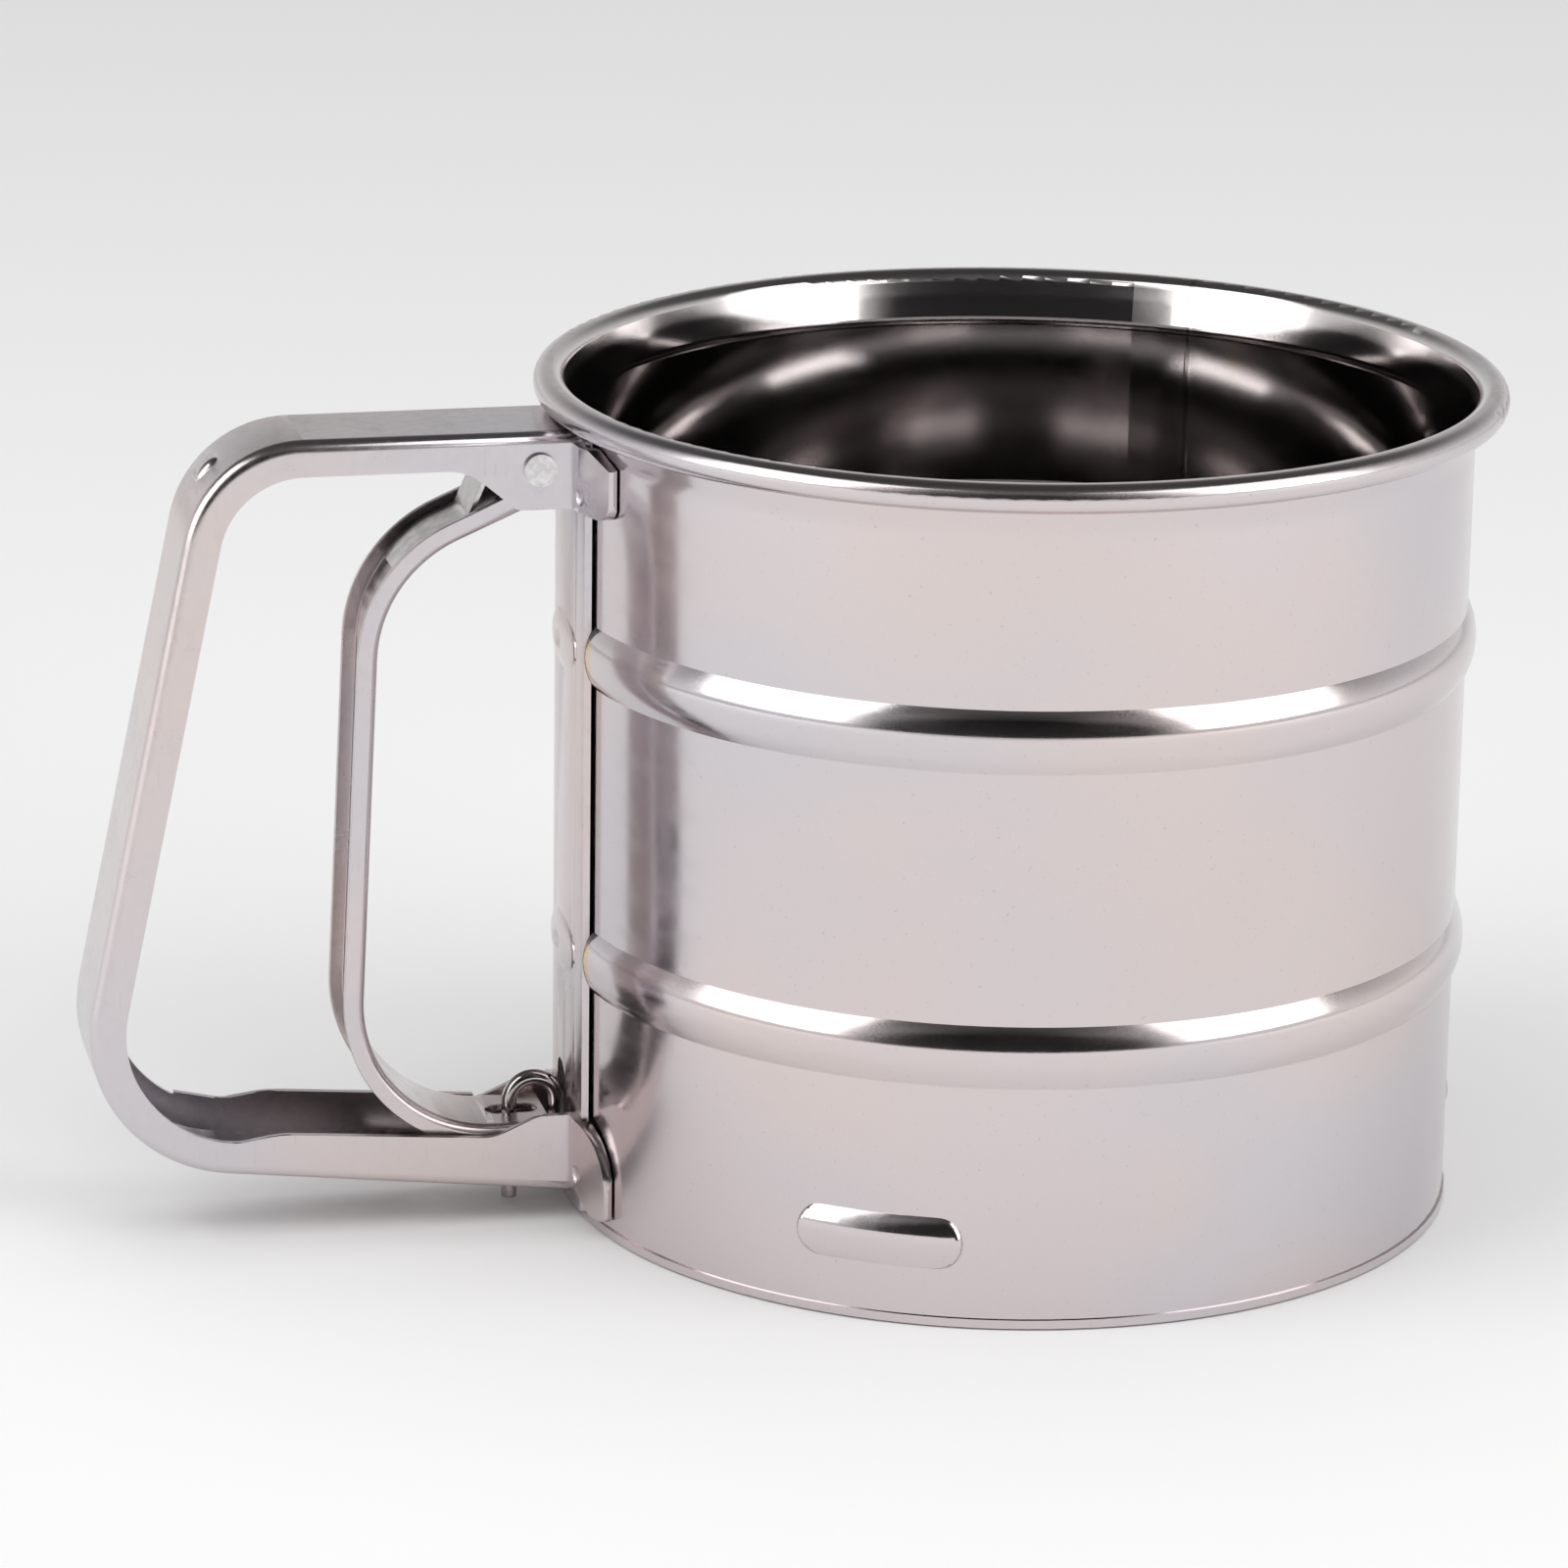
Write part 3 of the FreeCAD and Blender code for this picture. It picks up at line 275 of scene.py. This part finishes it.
def woven_sieve():
    """Round wire cloth in place of the plain disc: two sets of waved wires, over and under."""
    low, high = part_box("sieve_mesh")
    reach, level = high[0], (low[2] + high[2]) / 2
    pitch, radius, lift = 1.6 * MM, 0.16 * MM, 0.06 * MM
    mesh = bmesh.new()
    count = int(reach / pitch)
    for along in (0, 1):
        for i in range(-count, count + 1):
            side = (i + 0.5) * pitch
            if abs(side) > reach - radius:
                continue
            half = math.sqrt((reach - radius) ** 2 - side ** 2)
            steps = max(2, round(2 * half / pitch))
            rings = []
            for k in range(steps + 1):
                run = -half + 2 * half * k / steps
                wave = lift * math.cos(math.pi * (run / pitch + i + along))
                ring = []
                for across, up in ((1, 0), (0, 1), (-1, 0), (0, -1)):
                    flat = (run, side + across * radius)
                    x, y = flat if along == 0 else flat[::-1]
                    ring.append(mesh.verts.new((x, y, level + wave + up * radius)))
                rings.append(ring)
            for a, b in zip(rings, rings[1:]):
                for k in range(4):
                    mesh.faces.new((a[k], a[(k + 1) % 4], b[(k + 1) % 4], b[k]))
            mesh.faces.new(rings[0][::-1])
            mesh.faces.new(rings[-1])
    bmesh.ops.recalc_face_normals(mesh, faces=mesh.faces[:])
    data = bpy.data.meshes.new("sieve_cloth")
    mesh.to_mesh(data)
    mesh.free()
    for face in data.polygons:
        face.use_smooth = True
    cloth = bpy.data.objects.new("sieve_cloth", data)
    bpy.context.scene.collection.objects.link(cloth)
    data.materials.append(FINISHES["mesh"])
    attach(cloth, "cup")
    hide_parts("sieve_mesh")


def flexing_spring():
    """The leaf spring as a mesh of its own, sliced every millimetre along X, in place of the CAD
    node.
    """
    node = nodes["return_spring"]
    mesh = bmesh.new()
    mesh.from_mesh(node.data)
    mesh.transform(node.matrix_world)
    bmesh.ops.remove_doubles(mesh, verts=mesh.verts[:], dist=0.001 * MM)
    low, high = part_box("return_spring")
    slices = int((high[0] - low[0]) / MM)
    for i in range(1, slices):
        bmesh.ops.bisect_plane(mesh, geom=mesh.verts[:] + mesh.edges[:] + mesh.faces[:],
                               plane_co=(low[0] + i * MM, 0, 0), plane_no=(1, 0, 0))
    data = bpy.data.meshes.new("leaf_spring")
    mesh.to_mesh(data)
    mesh.free()
    data.materials.append(FINISHES["spring"])
    leaf = bpy.data.objects.new("leaf_spring", data)
    bpy.context.scene.collection.objects.link(leaf)
    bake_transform(leaf)
    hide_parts("return_spring")


def soften(name, width):
    """Turn a CAD node's sharp edges with a narrow bevel that catches the light."""
    node = nodes[name]
    weld = node.modifiers.new("weld", "WELD")
    weld.merge_threshold = 0.001 * MM
    bevel = node.modifiers.new("edge", "BEVEL")
    bevel.width = width
    bevel.segments = 2
    bevel.limit_method = "ANGLE"
    bevel.angle_limit = math.radians(50)
    bevel.harden_normals = True
    bevel.use_clamp_overlap = True


woven_sieve()
flexing_spring()
for name in ("handle_channel", "trigger_lever", "back_strap", "agitator_star", "spider_bracket"):
    soften(name, 0.12 * MM)


# ---------------------------------------------------------------- stage

VIEW_TURN = math.radians(-13.0)           # the camera stands a little towards the handle
VIEW_RISE = math.radians(16.7)
VIEW_ROLL = -0.0151
VIEW_DISTANCE = 708.15 * MM
VIEW_LENS = 152.97
AIM_LEVEL = 45 * MM                       # height of the point the camera is set out from
AIM_LEFT, AIM_DOWN = 24.114 * MM, 1.55 * MM
FLOOR_GAP = 0.2 * MM
SOFTBOX_TURN, SOFTBOX_RISE = 62, 30       # degrees from the camera's side, and up
SOFTBOX_AWAY, SOFTBOX_WIDE, SOFTBOX_TALL = 1.1, 0.85, 1.1
SOFTBOX_WATTS = 6
ROOM_STOPS = ((0.0, 0.9), (0.5, 0.85), (0.66, 0.5), (0.8, 0.10), (1.0, 0.05))


def make_camera():
    sine, cosine = math.sin(VIEW_TURN), math.cos(VIEW_TURN)
    back = Vector((sine * math.cos(VIEW_RISE), -cosine * math.cos(VIEW_RISE),
                   math.sin(VIEW_RISE)))
    level = Vector((cosine, sine, 0))
    upright = back.cross(level)
    right = level * math.cos(VIEW_ROLL) - upright * math.sin(VIEW_ROLL)
    upward = level * math.sin(VIEW_ROLL) + upright * math.cos(VIEW_ROLL)
    data = bpy.data.cameras.new("camera")
    data.lens = VIEW_LENS
    data.sensor_width = 36
    data.clip_start, data.clip_end = 0.01, 50
    camera = bpy.data.objects.new("camera", data)
    camera.rotation_mode = "QUATERNION"
    turn = Matrix((right, upward, back)).transposed()
    camera.rotation_quaternion = turn.to_quaternion()
    middle = Vector((0, 0, AIM_LEVEL))
    camera.location = middle - right * AIM_LEFT - upward * AIM_DOWN + back * VIEW_DISTANCE
    bpy.context.scene.collection.objects.link(camera)
    bpy.context.scene.camera = camera


def make_floor():
    bpy.ops.mesh.primitive_plane_add(size=8, location=(0, 0, cad_box[0][2] - FLOOR_GAP))
    floor = bpy.context.object
    floor.name = "floor"
    shader = Shader("floor_paper")
    base = shader.add("ShaderNodeBsdfDiffuse")
    base.inputs["Color"].default_value = (0.9, 0.9, 0.9, 1)
    out = shader.add("ShaderNodeOutputMaterial")
    shader.wire(base.outputs[0], out.inputs["Surface"])
    floor.data.materials.append(shader.material)


def toward(turn, rise):
    """Direction from the object, turned from the camera's own azimuth."""
    angle = VIEW_TURN + math.radians(turn)
    up = math.radians(rise)
    return Vector((math.sin(angle) * math.cos(up), -math.cos(angle) * math.cos(up),
                   math.sin(up)))


def softbox(name, turn):
    """A soft light that faces the object."""
    data = bpy.data.lights.new(name, "AREA")
    data.shape = "RECTANGLE"
    data.size, data.size_y = SOFTBOX_WIDE, SOFTBOX_TALL
    data.energy = SOFTBOX_WATTS
    lamp = bpy.data.objects.new(name, data)
    away = toward(turn, SOFTBOX_RISE)
    lamp.location = away * SOFTBOX_AWAY + Vector((0, 0, 50 * MM))
    lamp.rotation_mode = "QUATERNION"
    lamp.rotation_quaternion = away.to_track_quat("Z", "Y")
    bpy.context.scene.collection.objects.link(lamp)


def make_world():
    """Room round the object: pale low down, dark overhead and on the camera's resting side."""
    world = bpy.data.worlds.new("studio")
    world.use_nodes = True
    tree = world.node_tree
    tree.nodes.clear()
    coordinates = tree.nodes.new("ShaderNodeTexCoord")
    parts = tree.nodes.new("ShaderNodeSeparateXYZ")
    tree.links.new(coordinates.outputs["Generated"], parts.inputs[0])
    ramp = tree.nodes.new("ShaderNodeValToRGB")
    while len(ramp.color_ramp.elements) < len(ROOM_STOPS):
        ramp.color_ramp.elements.new(0.5)
    for element, (at, level) in zip(ramp.color_ramp.elements, ROOM_STOPS):
        element.position = at
        element.color = (level, level, level, 1)
    half = tree.nodes.new("ShaderNodeMath")
    half.operation = "MULTIPLY_ADD"
    half.inputs[1].default_value = half.inputs[2].default_value = 0.5
    tree.links.new(parts.outputs[2], half.inputs[0])
    tree.links.new(half.outputs[0], ramp.inputs[0])
    facing = tree.nodes.new("ShaderNodeVectorMath")
    facing.operation = "DOT_PRODUCT"
    tree.links.new(coordinates.outputs["Generated"], facing.inputs[0])
    facing.inputs[1].default_value = toward(0, 0)
    dark = tree.nodes.new("ShaderNodeMapRange")
    dark.interpolation_type = "SMOOTHSTEP"
    for value, socket in zip((0.72, 0.86, 1.0, 0.03), list(dark.inputs)[1:5]):
        socket.default_value = value
    tree.links.new(facing.outputs["Value"], dark.inputs[0])
    shade = tree.nodes.new("ShaderNodeVectorMath")
    shade.operation = "SCALE"
    tree.links.new(ramp.outputs[0], shade.inputs[0])
    tree.links.new(dark.outputs[0], shade.inputs["Scale"])
    ground = tree.nodes.new("ShaderNodeBackground")
    tree.links.new(shade.outputs[0], ground.inputs["Color"])
    out = tree.nodes.new("ShaderNodeOutputWorld")
    tree.links.new(ground.outputs[0], out.inputs["Surface"])
    bpy.context.scene.world = world


def make_lights():
    softbox("left_softbox", -SOFTBOX_TURN)
    softbox("right_softbox", SOFTBOX_TURN)
    sun = bpy.data.lights.new("floor_light", "SUN")
    sun.energy = 1.5
    sun.angle = math.radians(80)
    lamp = bpy.data.objects.new("floor_light", sun)
    lamp.visible_glossy = False
    bpy.context.scene.collection.objects.link(lamp)


make_camera()
make_floor()
make_world()
make_lights()
bpy.context.scene.view_settings.view_transform = "Standard"
